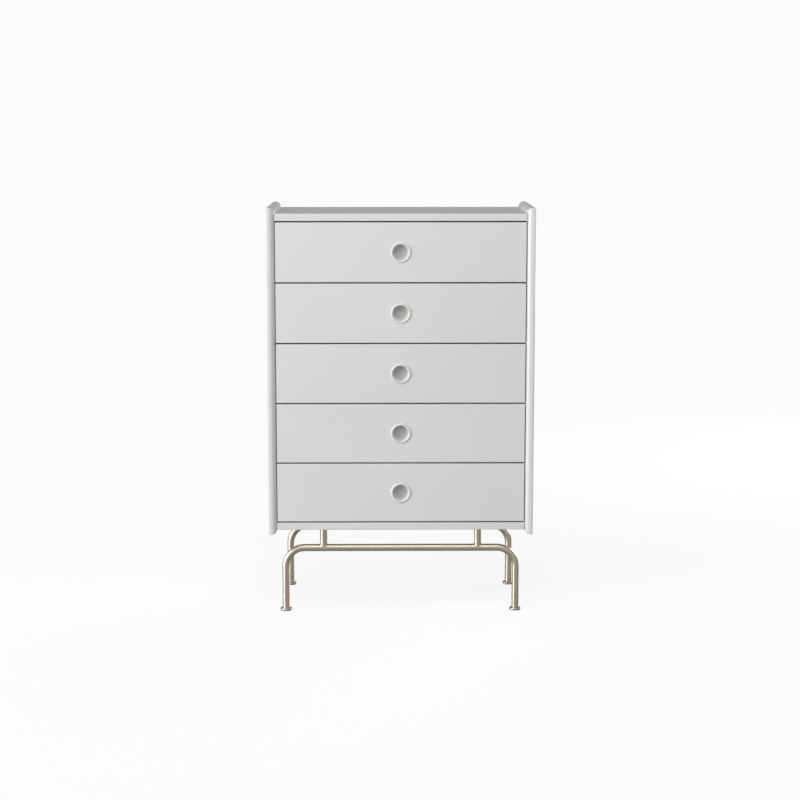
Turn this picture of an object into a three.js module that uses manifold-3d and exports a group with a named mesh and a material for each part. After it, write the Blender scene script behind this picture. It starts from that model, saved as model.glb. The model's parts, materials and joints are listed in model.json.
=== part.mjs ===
// Tall chest of five drawers on two bent steel leg frames.
// Millimetres, +Z up, the front faces -Y, the origin is the floor point under the middle.

import * as THREE from 'three';
import { mergeVertices } from 'three/addons/utils/BufferGeometryUtils.js';
import Module from 'manifold-3d';

const wasm = await Module();
wasm.setup();

// Whole chest
const overallWidth = 800;
const overallDepth = 400;
const overallHeight = 1230;
const fitGap = 0.3;             // room left between a turned or cut piece and its neighbour

// Case
const sideThickness = 25;
const sideUnderside = 243;      // the side panels hang a little below the bottom panel
const innerEdgeRadius = 16;     // large round-over on the side panels' inner edges
const outerEdgeRadius = 3;
const boardEdgeRadius = 2;
const frontSetback = 6;         // drawer fronts stand back from the side panels' front edges
const topSurface = 1213;
const bottomUnderside = 257;
const panelThickness = 22;
const backThickness = 5;
const backInset = 7;            // from the rear edges to the back panel

// Drawers
const drawerCount = 5;
const frontGap = 4;             // above, below and between the fronts
const frontSideGap = 1.5;
const frontThickness = 20;
const boxRise = 20;             // from a front's lower edge to its box's lower edge
const boxHeight = 130;
const boxWall = 12;
const boxLength = 346;
const drawerBottomRise = 12;    // from the box's lower edge to the drawer bottom
const drawerBottomThickness = 5;
const grooveDepth = 6;

// Slides
const slideRoom = 13;           // between a drawer box and a side panel
const runnerHeight = 45;
const runnerDepth = 10;
const runnerWall = 1.5;
const runnerLength = 340;
const runnerRise = 24;          // from the box's lower edge to the runner's lower edge

// Recessed round pulls
const pullRimRadius = 30;
const pullRimHeight = 3;
const pullCupRadius = 27.5;
const pullCupDepth = 18;
const pullMouthRadius = 26;
const pullFloorRadius = 18;     // the recess narrows towards its flat floor
const pullDishDepth = 15.5;

// Leg frames
const tubeRadius = 11;
const legSpacing = 702;         // between the legs of one frame, centre to centre
const frameSpacing = 323;       // between the front and the rear frame
const barHeight = 195;          // the bar's centre line
const bendRadius = 58;          // the bends' centre line
const postSpacing = 470;
const plateWidth = 70;
const plateDepth = 45;
const plateThickness = 4;

// Feet
const footRadius = 18;
const footHeight = 8;
const stemRadius = 5;
const stemHeight = 20;

// Fineness of the round shapes
const tubeSides = 16;
const pullSides = 32;
const bendSteps = 6;

// Faces and lines that the pieces share
const insideHalfWidth = overallWidth / 2 - sideThickness;
const frontFace = -overallDepth / 2 + frontSetback;
const frontBack = frontFace + frontThickness;
const rearEdge = overallDepth / 2;
const openingBottom = bottomUnderside + panelThickness;
const openingTop = topSurface - panelThickness;
const frontHeight = (openingTop - openingBottom - (drawerCount + 1) * frontGap) / drawerCount;
const boxHalfWidth = insideHalfWidth - slideRoom;
const boxBack = frontBack + boxLength;

const lacquer = { color: 0xe2e3e3, roughness: 0.42, metalness: 0 };
const birch = { color: 0xd9bd8f, roughness: 0.6, metalness: 0 };
const hardboard = { color: 0xe6e4de, roughness: 0.55, metalness: 0 };
const satinNickel = { color: 0xb9ab9a, roughness: 0.3, metalness: 1 };
const zincSteel = { color: 0xa9adb0, roughness: 0.38, metalness: 1 };

const chest = new THREE.Group();

function addPiece(name, geometry, finish) {
  const mesh = new THREE.Mesh(geometry, new THREE.MeshStandardMaterial(finish));
  mesh.name = name;
  chest.add(mesh);
}

// Joining and cutting

function toSolid(geometry) {
  const bare = geometry.clone();
  bare.deleteAttribute('normal');
  bare.deleteAttribute('uv');
  const merged = mergeVertices(bare, 1e-4);
  const vertProperties = new Float32Array(merged.attributes.position.array);
  const triVerts = new Uint32Array(merged.index.array);
  return new wasm.Manifold(new wasm.Mesh({ numProp: 3, vertProperties, triVerts }));
}

function toGeometry(solid) {
  const mesh = solid.getMesh();
  const geometry = new THREE.BufferGeometry();
  geometry.setAttribute('position', new THREE.BufferAttribute(new Float32Array(mesh.vertProperties), 3));
  geometry.setIndex(new THREE.BufferAttribute(new Uint32Array(mesh.triVerts), 1));
  geometry.computeVertexNormals();
  return geometry;
}

// A plain block between two corners
function block(low, high) {
  const geometry = new THREE.BoxGeometry(high[0] - low[0], high[1] - low[1], high[2] - low[2]);
  geometry.translate((low[0] + high[0]) / 2, (low[1] + high[1]) / 2, (low[2] + high[2]) / 2);
  return geometry;
}

// A board between two corners whose front and rear edges are rounded over
function roundedBoard(low, high, radius) {
  const halfWidth = (high[0] - low[0]) / 2 - radius;
  const halfHeight = (high[2] - low[2]) / 2 - radius;
  const outline = new THREE.Shape();
  outline.moveTo(-halfWidth, -halfHeight);
  outline.lineTo(halfWidth, -halfHeight);
  outline.lineTo(halfWidth, halfHeight);
  outline.lineTo(-halfWidth, halfHeight);
  outline.closePath();
  const thickness = high[1] - low[1];
  const geometry = new THREE.ExtrudeGeometry(outline, {
    depth: thickness - 2 * radius,
    bevelThickness: radius,
    bevelSize: radius,
    bevelSegments: 3,
  });
  geometry.translate((low[0] + high[0]) / 2, (low[2] + high[2]) / 2, radius - thickness / 2);
  geometry.rotateX(Math.PI / 2);
  geometry.translate(0, (low[1] + high[1]) / 2, 0);
  return geometry;
}

// An upright slab in the plane of the chest's side, rounded on the edges of both faces
function roundedSlab(innerX, outerX, radius) {
  const halfDepth = overallDepth / 2 - radius;
  const outline = new THREE.Shape();
  outline.moveTo(-halfDepth, sideUnderside + radius);
  outline.lineTo(halfDepth, sideUnderside + radius);
  outline.lineTo(halfDepth, overallHeight - radius);
  outline.lineTo(-halfDepth, overallHeight - radius);
  outline.closePath();
  const geometry = new THREE.ExtrudeGeometry(outline, {
    depth: Math.abs(outerX - innerX) - 2 * radius,
    bevelThickness: radius,
    bevelSize: radius,
    bevelSegments: radius > 5 ? 5 : 2,
  });
  geometry.translate(0, 0, Math.min(innerX, outerX) + radius);
  geometry.rotateX(Math.PI / 2);
  geometry.rotateZ(Math.PI / 2);
  return geometry;
}

// Case

function sidePanel(side) {
  const inner = side * insideHalfWidth;
  const outer = side * overallWidth / 2;
  const roundInside = roundedSlab(inner, inner + side * 2 * sideThickness, innerEdgeRadius);
  const roundOutside = roundedSlab(outer - side * 2 * sideThickness, outer, outerEdgeRadius);
  return toGeometry(toSolid(roundInside).intersect(toSolid(roundOutside)));
}

addPiece('left_side_panel', sidePanel(-1), lacquer);
addPiece('right_side_panel', sidePanel(1), lacquer);

addPiece('top_panel', roundedBoard(
  [-insideHalfWidth, frontFace, openingTop],
  [insideHalfWidth, rearEdge, topSurface],
  boardEdgeRadius,
), lacquer);

addPiece('bottom_panel', roundedBoard(
  [-insideHalfWidth, frontFace, bottomUnderside],
  [insideHalfWidth, rearEdge, openingBottom],
  boardEdgeRadius,
), lacquer);

addPiece('back_panel', block(
  [-insideHalfWidth, rearEdge - backInset - backThickness, openingBottom],
  [insideHalfWidth, rearEdge - backInset, openingTop],
), hardboard);

// Leg frames

// Runs through a list of points, one step from each to the next
class PointPath extends THREE.Curve {
  constructor(points) {
    super();
    this.points = points;
  }

  getPoint(t, target = new THREE.Vector3()) {
    const place = t * (this.points.length - 1);
    const index = Math.min(Math.floor(place), this.points.length - 2);
    return target.lerpVectors(this.points[index], this.points[index + 1], place - index);
  }

  getPointAt(u, target) {
    return this.getPoint(u, target);
  }

  getTangentAt(u, target) {
    return this.getTangent(u, target);
  }
}

// Centre line of the bent tube: up one leg, over the bar and down the other leg
function archPoints(y) {
  const legX = legSpacing / 2;
  const points = [new THREE.Vector3(-legX, y, footHeight)];
  for (const side of [-1, 1]) {
    for (let step = 0; step <= bendSteps; step += 1) {
      const turn = (side < 0 ? step : bendSteps - step) / bendSteps * Math.PI / 2;
      const x = side * (legX - bendRadius * (1 - Math.cos(turn)));
      const z = barHeight - bendRadius * (1 - Math.sin(turn));
      points.push(new THREE.Vector3(x, y, z));
    }
  }
  points.push(new THREE.Vector3(legX, y, footHeight));
  return points;
}

function archTube(y) {
  const points = archPoints(y);
  const section = new THREE.Shape();
  section.absarc(0, 0, tubeRadius, 0, 2 * Math.PI);
  return new THREE.ExtrudeGeometry(section, {
    steps: points.length - 1,
    curveSegments: tubeSides,
    extrudePath: new PointPath(points),
  });
}

function uprightRod(x, y, low, high, radius) {
  const rod = new THREE.CylinderGeometry(radius, radius, high - low, tubeSides);
  rod.rotateX(Math.PI / 2);
  rod.translate(x, y, (low + high) / 2);
  return rod;
}

// The bent tube with its two posts and their screw plates welded on
function legFrame(y) {
  let frame = toSolid(archTube(y));
  const plateBottom = bottomUnderside - plateThickness;
  const inward = y < 0 ? 1 : -1;
  const plateOuterY = y - inward * tubeRadius;
  const plateInnerY = plateOuterY + inward * plateDepth;
  for (const side of [-1, 1]) {
    const x = side * postSpacing / 2;
    const post = uprightRod(x, y, barHeight, plateBottom + plateThickness / 2, tubeRadius);
    const plate = block(
      [x - plateWidth / 2, Math.min(plateOuterY, plateInnerY), plateBottom],
      [x + plateWidth / 2, Math.max(plateOuterY, plateInnerY), bottomUnderside],
    );
    const legX = side * legSpacing / 2;
    const socket = uprightRod(legX, y, footHeight - 1, footHeight + stemHeight + fitGap, stemRadius + fitGap);
    frame = frame.add(toSolid(post)).add(toSolid(plate)).subtract(toSolid(socket));
  }
  return toGeometry(frame);
}

addPiece('front_leg_frame', legFrame(-frameSpacing / 2), satinNickel);
addPiece('rear_leg_frame', legFrame(frameSpacing / 2), satinNickel);

// A flat disc with a soft shoulder and a stem that goes up into the leg
function foot(x, y) {
  const profile = [
    [0, 0],
    [footRadius - 1, 0],
    [footRadius, 1],
    [footRadius, footHeight - 3],
    [footRadius - 2, footHeight - 1],
    [tubeRadius, footHeight - fitGap],
    [stemRadius, footHeight - fitGap],
    [stemRadius, footHeight + stemHeight],
    [0, footHeight + stemHeight],
  ].map(([radius, height]) => new THREE.Vector2(radius, height));
  const geometry = new THREE.LatheGeometry(profile, 24);
  geometry.rotateX(Math.PI / 2);
  geometry.translate(x, y, 0);
  return geometry;
}

for (const [row, y] of [['front', -frameSpacing / 2], ['rear', frameSpacing / 2]]) {
  addPiece(`${row}_left_foot`, foot(-legSpacing / 2, y), satinNickel);
  addPiece(`${row}_right_foot`, foot(legSpacing / 2, y), satinNickel);
}

// Drawers and their slides, numbered from the top

function frontLow(number) {
  return openingTop - number * (frontHeight + frontGap);
}

// Steel channel screwed to a side panel and open towards the drawer
function cabinetRunner(side, low) {
  const wall = runnerWall;
  const section = new THREE.Shape();
  section.moveTo(0, 0);
  section.lineTo(runnerDepth, 0);
  section.lineTo(runnerDepth, wall);
  section.lineTo(wall, wall);
  section.lineTo(wall, runnerHeight - wall);
  section.lineTo(runnerDepth, runnerHeight - wall);
  section.lineTo(runnerDepth, runnerHeight);
  section.lineTo(0, runnerHeight);
  section.closePath();
  const geometry = new THREE.ExtrudeGeometry(section, { depth: runnerLength, bevelEnabled: false });
  geometry.translate(0, 0, -runnerLength / 2);
  geometry.rotateX(Math.PI / 2);
  if (side > 0) {
    geometry.rotateZ(Math.PI);
  }
  const middle = frontBack + fitGap + boxLength / 2;
  geometry.translate(side * insideHalfWidth, middle, low);
  return geometry;
}

// Turned cup with a raised rim; the recess slopes in to a flat floor
function pull(z) {
  const lip = 1.2;
  const profile = [
    [0, -pullCupDepth],
    [pullCupRadius, -pullCupDepth],
    [pullCupRadius, fitGap],
    [pullRimRadius, fitGap],
    [pullRimRadius, pullRimHeight - lip],
    [pullRimRadius - lip, pullRimHeight],
    [pullMouthRadius + lip, pullRimHeight],
    [pullMouthRadius, pullRimHeight - lip],
    [pullFloorRadius, lip - pullDishDepth],
    [pullFloorRadius - lip, -pullDishDepth],
    [0, -pullDishDepth],
  ];
  const points = profile.map(([radius, height]) => new THREE.Vector2(radius, height));
  const geometry = new THREE.LatheGeometry(points, pullSides);
  geometry.rotateX(Math.PI);
  geometry.translate(0, frontFace, z);
  return geometry;
}

// The front has a round pocket for the pull and a groove for the drawer bottom
function drawerFront(low) {
  const halfWidth = insideHalfWidth - frontSideGap;
  const board = roundedBoard(
    [-halfWidth, frontFace, low],
    [halfWidth, frontBack, low + frontHeight],
    boardEdgeRadius,
  );
  const pocketRadius = pullCupRadius + fitGap;
  const pocketDepth = pullCupDepth + fitGap;
  const pocket = new THREE.CylinderGeometry(pocketRadius, pocketRadius, pocketDepth + 1, pullSides);
  pocket.translate(0, frontFace - 1 + (pocketDepth + 1) / 2, low + frontHeight / 2);
  const grooveHalfWidth = boxHalfWidth - boxWall + grooveDepth;
  const groove = bottomGroove(low, -grooveHalfWidth, grooveHalfWidth, frontBack - grooveDepth, frontBack + 1);
  return toGeometry(toSolid(board).subtract(toSolid(pocket)).subtract(groove));
}

// The room that the drawer bottom's edge needs
function bottomGroove(low, xLow, xHigh, yLow, yHigh) {
  const zLow = low + boxRise + drawerBottomRise;
  return toSolid(block([xLow, yLow, zLow - fitGap], [xHigh, yHigh, zLow + drawerBottomThickness + fitGap]));
}

function drawerSide(side, low) {
  const outer = side * boxHalfWidth;
  const inner = side * (boxHalfWidth - boxWall);
  const board = block(
    [Math.min(outer, inner), frontBack, low + boxRise],
    [Math.max(outer, inner), boxBack, low + boxRise + boxHeight],
  );
  const reach = inner + side * grooveDepth;
  const past = inner - side;
  const groove = bottomGroove(low, Math.min(reach, past), Math.max(reach, past), frontBack - 1, boxBack + 1);
  return toGeometry(toSolid(board).subtract(groove));
}

for (let number = 1; number <= drawerCount; number += 1) {
  const low = frontLow(number);
  const name = `drawer_${number}`;
  const bottomLow = low + boxRise + drawerBottomRise;
  const insideHalf = boxHalfWidth - boxWall;
  const tongue = grooveDepth - fitGap;

  addPiece(`${name}_front`, drawerFront(low), lacquer);
  addPiece(`${name}_pull`, pull(low + frontHeight / 2), lacquer);
  addPiece(`${name}_left_side`, drawerSide(-1, low), birch);
  addPiece(`${name}_right_side`, drawerSide(1, low), birch);
  addPiece(`${name}_back`, block(
    [-insideHalf, boxBack - boxWall, bottomLow + drawerBottomThickness + fitGap],
    [insideHalf, boxBack, low + boxRise + boxHeight],
  ), birch);
  addPiece(`${name}_bottom`, block(
    [-insideHalf - tongue, frontBack - tongue, bottomLow],
    [insideHalf + tongue, boxBack, bottomLow + drawerBottomThickness],
  ), hardboard);
  addPiece(`${name}_left_runner`, cabinetRunner(-1, low + boxRise + runnerRise), zincSteel);
  addPiece(`${name}_right_runner`, cabinetRunner(1, low + boxRise + runnerRise), zincSteel);
}

export default chest;
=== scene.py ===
import json
import math
import bmesh
import bpy
from mathutils import Matrix, Vector


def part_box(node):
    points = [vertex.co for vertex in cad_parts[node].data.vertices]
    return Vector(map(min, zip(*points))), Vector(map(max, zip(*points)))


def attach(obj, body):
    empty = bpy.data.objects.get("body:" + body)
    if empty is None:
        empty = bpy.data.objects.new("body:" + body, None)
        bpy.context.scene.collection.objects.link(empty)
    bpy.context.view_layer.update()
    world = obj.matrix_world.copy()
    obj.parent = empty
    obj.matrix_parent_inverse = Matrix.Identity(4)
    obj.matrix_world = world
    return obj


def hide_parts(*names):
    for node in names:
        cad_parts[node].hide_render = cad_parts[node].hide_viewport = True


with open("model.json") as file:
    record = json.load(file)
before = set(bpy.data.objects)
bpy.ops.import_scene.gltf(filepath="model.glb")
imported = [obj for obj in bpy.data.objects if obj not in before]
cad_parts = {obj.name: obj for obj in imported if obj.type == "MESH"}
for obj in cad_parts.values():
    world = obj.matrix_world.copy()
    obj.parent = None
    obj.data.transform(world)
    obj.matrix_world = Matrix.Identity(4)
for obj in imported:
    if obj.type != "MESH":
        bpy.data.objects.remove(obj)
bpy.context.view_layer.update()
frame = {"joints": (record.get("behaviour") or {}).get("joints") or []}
scene = bpy.context.scene
carcass = "carcass"
drawerNumbers = range(1, len(frame["joints"]) + 1)
rows = ("front", "rear")
sides = {"left": -1, "right": 1}


# Shader helpers

def addNode(tree, kind, **settings):
    node = tree.nodes.new(kind)
    for key, value in settings.items():
        setattr(node, key, value)
    return node


def setInputs(node, **values):
    for key, value in values.items():
        node.inputs[key.replace("_", " ")].default_value = value
    return node


def newGroup(name, inputs, outputs):
    group = bpy.data.node_groups.new(name, "ShaderNodeTree")
    for label, kind, value in inputs:
        socket = group.interface.new_socket(label, in_out="INPUT", socket_type=kind)
        if value is not None:
            socket.default_value = value
    for label, kind in outputs:
        group.interface.new_socket(label, in_out="OUTPUT", socket_type=kind)
    return group, group.nodes.new("NodeGroupInput"), group.nodes.new("NodeGroupOutput")


def noiseNode(tree, vector, scale, detail=2.0, roughness=0.5):
    noise = addNode(tree, "ShaderNodeTexNoise")
    setInputs(noise, Detail=detail, Roughness=roughness)
    tree.links.new(vector, noise.inputs["Vector"])
    if isinstance(scale, (int, float)):
        noise.inputs["Scale"].default_value = scale
    else:
        tree.links.new(scale, noise.inputs["Scale"])
    return noise.outputs["Fac"]


def mathNode(tree, operation, first, second=None, clamp=False):
    node = addNode(tree, "ShaderNodeMath", operation=operation, use_clamp=clamp)
    for index, value in enumerate((first, second)):
        if value is None:
            continue
        if isinstance(value, (int, float)):
            node.inputs[index].default_value = value
        else:
            tree.links.new(value, node.inputs[index])
    return node.outputs[0]


def mixColour(tree, factor, first, second):
    node = addNode(tree, "ShaderNodeMix", data_type="RGBA")
    for socket, value in ((node.inputs[0], factor), (node.inputs[6], first), (node.inputs[7], second)):
        if isinstance(value, (int, float, tuple)):
            socket.default_value = value
        else:
            tree.links.new(value, socket)
    return node.outputs[2]


def rangeNode(tree, value, fromLow, fromHigh, toLow, toHigh):
    node = addNode(tree, "ShaderNodeMapRange", clamp=True)
    limits = {"From Min": fromLow, "From Max": fromHigh, "To Min": toLow, "To Max": toHigh}
    for label, number in limits.items():
        if isinstance(number, (int, float)):
            node.inputs[label].default_value = number
        else:
            tree.links.new(number, node.inputs[label])
    tree.links.new(value, node.inputs["Value"])
    return node.outputs["Result"]


def scaledVector(tree, vector, scale):
    node = addNode(tree, "ShaderNodeMapping")
    node.inputs["Scale"].default_value = scale
    tree.links.new(vector, node.inputs["Vector"])
    return node.outputs["Vector"]


# Shared surface effects

def makeSprayedSkin():
    # fine orange peel in the height, slow cloudiness and handling marks in tone and gloss
    group, given, result = newGroup(
        "sprayedSkin",
        [("Vector", "NodeSocketVector", None), ("Peel Scale", "NodeSocketFloat", 260.0),
         ("Cloud Scale", "NodeSocketFloat", 3.0), ("Mark Scale", "NodeSocketFloat", 14.0)],
        [("Height", "NodeSocketFloat"), ("Cloud", "NodeSocketFloat"), ("Marks", "NodeSocketFloat")],
    )
    vector = given.outputs["Vector"]
    peel = noiseNode(group, vector, given.outputs["Peel Scale"], 1.0)
    cloud = noiseNode(group, vector, given.outputs["Cloud Scale"], 3.0, 0.6)
    marks = noiseNode(group, vector, given.outputs["Mark Scale"], 3.0, 0.5)
    group.links.new(peel, result.inputs["Height"])
    group.links.new(rangeNode(group, cloud, 0.3, 0.7, 0.0, 1.0), result.inputs["Cloud"])
    group.links.new(rangeNode(group, marks, 0.3, 0.75, 0.0, 1.0), result.inputs["Marks"])
    return group


def makeSettledDust():
    # a thin film on faces that look up, broken into faint drifts
    group, given, result = newGroup(
        "settledDust",
        [("Vector", "NodeSocketVector", None), ("Normal", "NodeSocketVector", None),
         ("Amount", "NodeSocketFloat", 0.2)],
        [("Mask", "NodeSocketFloat")],
    )
    split = addNode(group, "ShaderNodeSeparateXYZ")
    group.links.new(given.outputs["Normal"], split.inputs[0])
    facing = rangeNode(group, split.outputs["Z"], 0.6, 0.98, 0.0, 1.0)
    drift = noiseNode(group, given.outputs["Vector"], 9.0, 6.0, 0.7)
    specks = noiseNode(group, given.outputs["Vector"], 420.0, 1.0)
    mixed = mathNode(group, "MULTIPLY", rangeNode(group, drift, 0.35, 0.7, 0.3, 1.0),
                     rangeNode(group, specks, 0.42, 0.66, 0.45, 1.0))
    mask = mathNode(group, "MULTIPLY", facing, mixed)
    mask = mathNode(group, "MULTIPLY", mask, given.outputs["Amount"])
    group.links.new(mask, result.inputs["Mask"])
    return group


def makeEdgeWear():
    # the rounded edges, where a finish is thinner and catches most handling
    group, given, result = newGroup(
        "edgeWear",
        [("Vector", "NodeSocketVector", None), ("Edge", "NodeSocketFloat", 0.0),
         ("Amount", "NodeSocketFloat", 0.3), ("Scale", "NodeSocketFloat", 60.0)],
        [("Mask", "NodeSocketFloat")],
    )
    breakup = noiseNode(group, given.outputs["Vector"], given.outputs["Scale"], 6.0, 0.7)
    patchy = rangeNode(group, breakup, 0.4, 0.68, 0.0, 1.0)
    mask = mathNode(group, "MULTIPLY", mathNode(group, "MULTIPLY", given.outputs["Edge"], patchy),
                    given.outputs["Amount"])
    group.links.new(mask, result.inputs["Mask"])
    return group


def makeSatinGrain():
    # very fine directional polish under a plated finish, with slow drifts of gloss
    group, given, result = newGroup(
        "satinGrain",
        [("Vector", "NodeSocketVector", None), ("Fine Scale", "NodeSocketFloat", 900.0),
         ("Drift Scale", "NodeSocketFloat", 22.0)],
        [("Height", "NodeSocketFloat"), ("Gloss", "NodeSocketFloat"), ("Tone", "NodeSocketFloat")],
    )
    vector = given.outputs["Vector"]
    fine = noiseNode(group, vector, given.outputs["Fine Scale"], 2.0)
    drift = noiseNode(group, vector, given.outputs["Drift Scale"], 4.0, 0.6)
    tone = noiseNode(group, vector, 7.0, 3.0, 0.55)
    group.links.new(fine, result.inputs["Height"])
    group.links.new(rangeNode(group, drift, 0.3, 0.7, 0.0, 1.0), result.inputs["Gloss"])
    group.links.new(rangeNode(group, tone, 0.3, 0.7, 0.0, 1.0), result.inputs["Tone"])
    return group


def makeWoodFigure():
    # long streaks and short pores; the vector is already stretched along the grain
    group, given, result = newGroup(
        "woodFigure",
        [("Vector", "NodeSocketVector", None), ("Streak Scale", "NodeSocketFloat", 18.0),
         ("Pore Scale", "NodeSocketFloat", 150.0)],
        [("Streaks", "NodeSocketFloat"), ("Pores", "NodeSocketFloat")],
    )
    vector = given.outputs["Vector"]
    streaks = noiseNode(group, vector, given.outputs["Streak Scale"], 6.0, 0.62)
    pores = noiseNode(group, vector, given.outputs["Pore Scale"], 2.0)
    group.links.new(rangeNode(group, streaks, 0.3, 0.7, 0.0, 1.0), result.inputs["Streaks"])
    group.links.new(rangeNode(group, pores, 0.55, 0.72, 0.0, 1.0), result.inputs["Pores"])
    return group


sprayedSkin = makeSprayedSkin()
settledDust = makeSettledDust()
edgeWear = makeEdgeWear()
satinGrain = makeSatinGrain()
woodFigure = makeWoodFigure()


def placeGroup(tree, group, links, **values):
    node = addNode(tree, "ShaderNodeGroup", node_tree=group)
    for label, socket in links.items():
        tree.links.new(socket, node.inputs[label])
    setInputs(node, **values)
    return node


def startMaterial(name):
    material = bpy.data.materials.new(name)
    material.use_nodes = True
    tree = material.node_tree
    shader = tree.nodes["Principled BSDF"]
    place = addNode(tree, "ShaderNodeTexCoord")
    return material, tree, shader, place


def addBump(tree, shader, height, strength, distance):
    bump = addNode(tree, "ShaderNodeBump")
    setInputs(bump, Strength=strength, Distance=distance)
    tree.links.new(height, bump.inputs["Height"])
    tree.links.new(bump.outputs["Normal"], shader.inputs["Normal"])


lacquerLook = {
    "tone": (0.80, 0.80, 0.797, 1.0),
    "cloudTone": (0.785, 0.785, 0.778, 1.0),
    "dustTone": (0.60, 0.585, 0.555, 1.0),
    "wornTone": (0.70, 0.685, 0.65, 1.0),
    # painted shade: the greyer colour laid inside the pull's hollow
    "recessShadeTone": (0.57, 0.565, 0.545, 1.0),
    "gloss": 0.29,
    "markedGloss": 0.35,
    "peelDepth": 0.00003,
    "dust": 0.25,
    "wear": 0.25,
}


def makeLacquer():
    look = lacquerLook
    material, tree, shader, place = startMaterial("whiteLacquer")
    vector = place.outputs["Object"]
    skin = placeGroup(tree, sprayedSkin, {"Vector": vector})
    dust = placeGroup(tree, settledDust, {"Vector": vector, "Normal": place.outputs["Normal"]},
                      Amount=look["dust"])
    edge = addNode(tree, "ShaderNodeAttribute", attribute_name="roundOver")
    wear = placeGroup(tree, edgeWear, {"Vector": vector, "Edge": edge.outputs["Fac"]},
                      Amount=look["wear"])
    tone = mixColour(tree, skin.outputs["Cloud"], look["tone"], look["cloudTone"])
    # painted shade: the pull's hollow is mixed toward a greyer tone that stands in for shade
    paintedRecessShade = addNode(tree, "ShaderNodeAttribute", attribute_name="paintedRecessShade")
    tone = mixColour(tree, paintedRecessShade.outputs["Fac"], tone, look["recessShadeTone"])
    tone = mixColour(tree, wear.outputs["Mask"], tone, look["wornTone"])
    tone = mixColour(tree, dust.outputs["Mask"], tone, look["dustTone"])
    tree.links.new(tone, shader.inputs["Base Color"])
    gloss = rangeNode(tree, skin.outputs["Marks"], 0.0, 1.0, look["gloss"], look["markedGloss"])
    gloss = mathNode(tree, "ADD", gloss, mathNode(tree, "MULTIPLY", dust.outputs["Mask"], 0.5))
    tree.links.new(gloss, shader.inputs["Roughness"])
    addBump(tree, shader, skin.outputs["Height"], 0.5, look["peelDepth"])
    return material


nickelLook = {
    "tone": (0.72, 0.65, 0.545, 1.0),
    "warmTone": (0.67, 0.59, 0.48, 1.0),
    "gloss": 0.29,
    "dullGloss": 0.37,
    "grainDepth": 0.000003,
}


def makeMetal(name, look):
    material, tree, shader, place = startMaterial(name)
    stretched = scaledVector(tree, place.outputs["Object"], look.get("stretch", (1.0, 1.0, 1.0)))
    grain = placeGroup(tree, satinGrain, {"Vector": stretched})
    tone = mixColour(tree, grain.outputs["Tone"], look["tone"], look["warmTone"])
    tree.links.new(tone, shader.inputs["Base Color"])
    gloss = rangeNode(tree, grain.outputs["Gloss"], 0.0, 1.0, look["gloss"], look["dullGloss"])
    tree.links.new(gloss, shader.inputs["Roughness"])
    shader.inputs["Metallic"].default_value = 1.0
    addBump(tree, shader, grain.outputs["Height"], 0.4, look["grainDepth"])
    return material


zincLook = {
    "tone": (0.60, 0.63, 0.66, 1.0),
    "warmTone": (0.52, 0.55, 0.56, 1.0),
    "gloss": 0.30,
    "dullGloss": 0.45,
    "grainDepth": 0.00002,
    "stretch": (1.0, 0.15, 1.0),
}

screwLook = {
    "tone": (0.55, 0.56, 0.57, 1.0),
    "warmTone": (0.48, 0.48, 0.48, 1.0),
    "gloss": 0.28,
    "dullGloss": 0.40,
    "grainDepth": 0.00001,
}

rubberLook = {
    "tone": (0.018, 0.018, 0.019, 1.0),
    "wornTone": (0.05, 0.05, 0.048, 1.0),
    "gloss": 0.75,
    "grainDepth": 0.00008,
}


def makeRubber():
    look = rubberLook
    material, tree, shader, place = startMaterial("blackRubber")
    skin = placeGroup(tree, sprayedSkin, {"Vector": place.outputs["Object"]}, Peel_Scale=1200.0)
    tree.links.new(mixColour(tree, skin.outputs["Marks"], look["tone"], look["wornTone"]),
                   shader.inputs["Base Color"])
    shader.inputs["Roughness"].default_value = look["gloss"]
    addBump(tree, shader, skin.outputs["Height"], 0.6, look["grainDepth"])
    return material


birchLook = {
    "pale": (0.76, 0.62, 0.44, 1.0),
    "dark": (0.64, 0.48, 0.30, 1.0),
    "pore": (0.40, 0.26, 0.14, 1.0),
    "glueLine": (0.30, 0.18, 0.09, 1.0),
    "crossPly": (0.46, 0.31, 0.17, 1.0),
    "paleGloss": 0.42,
    "darkGloss": 0.56,
    "edgeGloss": 0.62,
    "poreDepth": 0.00008,
    "plyThickness": 0.0014,
    "plyDepth": 0.0001,
}


def makeBirchFace(name, stretch):
    look = birchLook
    material, tree, shader, place = startMaterial(name)
    vector = scaledVector(tree, place.outputs["Object"], stretch)
    figure = placeGroup(tree, woodFigure, {"Vector": vector})
    tone = mixColour(tree, figure.outputs["Streaks"], look["pale"], look["dark"])
    pores = mathNode(tree, "MULTIPLY", figure.outputs["Pores"], 0.35)
    tree.links.new(mixColour(tree, pores, tone, look["pore"]), shader.inputs["Base Color"])
    gloss = rangeNode(tree, figure.outputs["Streaks"], 0.0, 1.0, look["paleGloss"], look["darkGloss"])
    tree.links.new(gloss, shader.inputs["Roughness"])
    addBump(tree, shader, figure.outputs["Pores"], 0.5, -look["poreDepth"])
    return material


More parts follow.
